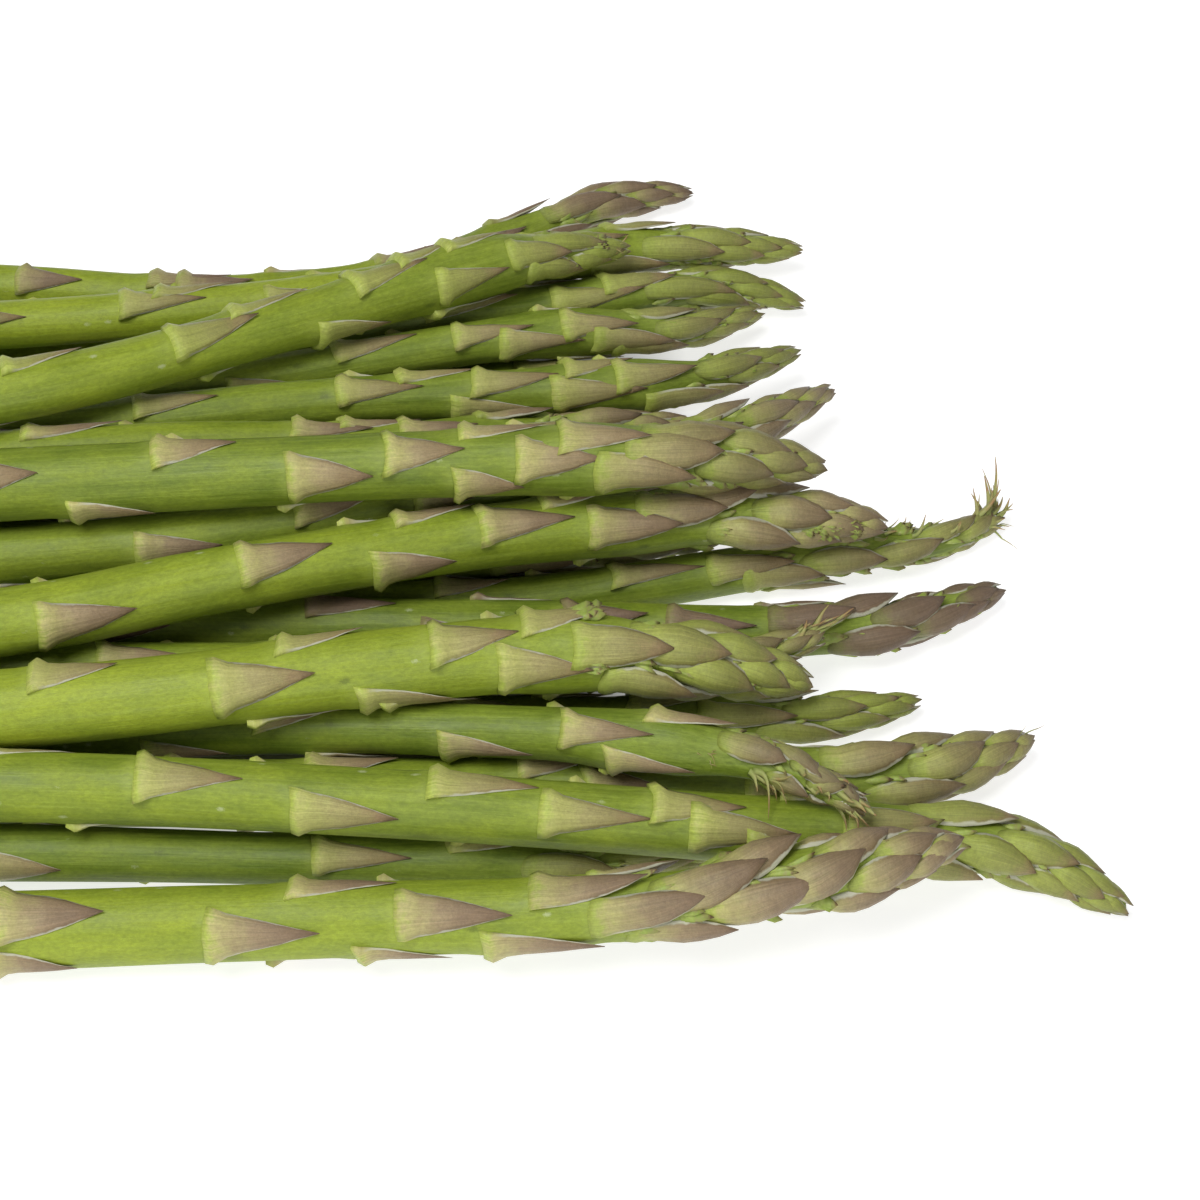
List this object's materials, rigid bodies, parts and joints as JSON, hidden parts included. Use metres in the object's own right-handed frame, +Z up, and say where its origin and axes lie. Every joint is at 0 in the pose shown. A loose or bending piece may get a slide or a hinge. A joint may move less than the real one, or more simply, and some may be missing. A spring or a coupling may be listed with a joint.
{
  "type": "bundle of asparagus",
  "caption": "Loose bundle of fresh green asparagus spears lying on its side, pointed scaly tips together at one end and square-cut butts at the other.",
  "frame": {"origin": "middle of the underside, on the surface that the bundle lies on", "axes": "+X along the spears towards their tips, +Y from the front of the bundle to its back, +Z up"},
  "size_m": [0.2324, 0.1616, 0.0403],
  "materials": {
    "skin_a": "waxy fresh green skin of an asparagus stem, shade a, with paler lengthwise fibres and brown to purple leaf scales",
    "skin_b": "waxy fresh green skin of an asparagus stem, shade b, with paler lengthwise fibres and brown to purple leaf scales",
    "skin_c": "waxy fresh green skin of an asparagus stem, shade c, with paler lengthwise fibres and brown to purple leaf scales",
    "skin_d": "waxy fresh green skin of an asparagus stem, shade d, with paler lengthwise fibres and brown to purple leaf scales"
  },
  "bodies": {
    "root": {"spear_01": "skin_b", "spear_02": "skin_c", "spear_03": "skin_d", "spear_04": "skin_a", "spear_05": "skin_b", "spear_06": "skin_c", "spear_07": "skin_d", "spear_08": "skin_a", "spear_09": "skin_b", "spear_10": "skin_c", "spear_11": "skin_d", "spear_12": "skin_a", "spear_13": "skin_b", "spear_14": "skin_c", "spear_15": "skin_d", "spear_16": "skin_a", "spear_17": "skin_b", "spear_18": "skin_c", "spear_19": "skin_d", "spear_20": "skin_a", "spear_21": "skin_b", "spear_22": "skin_c", "spear_23": "skin_d", "spear_24": "skin_a", "spear_25": "skin_b"}
  },
  "joints": []
}
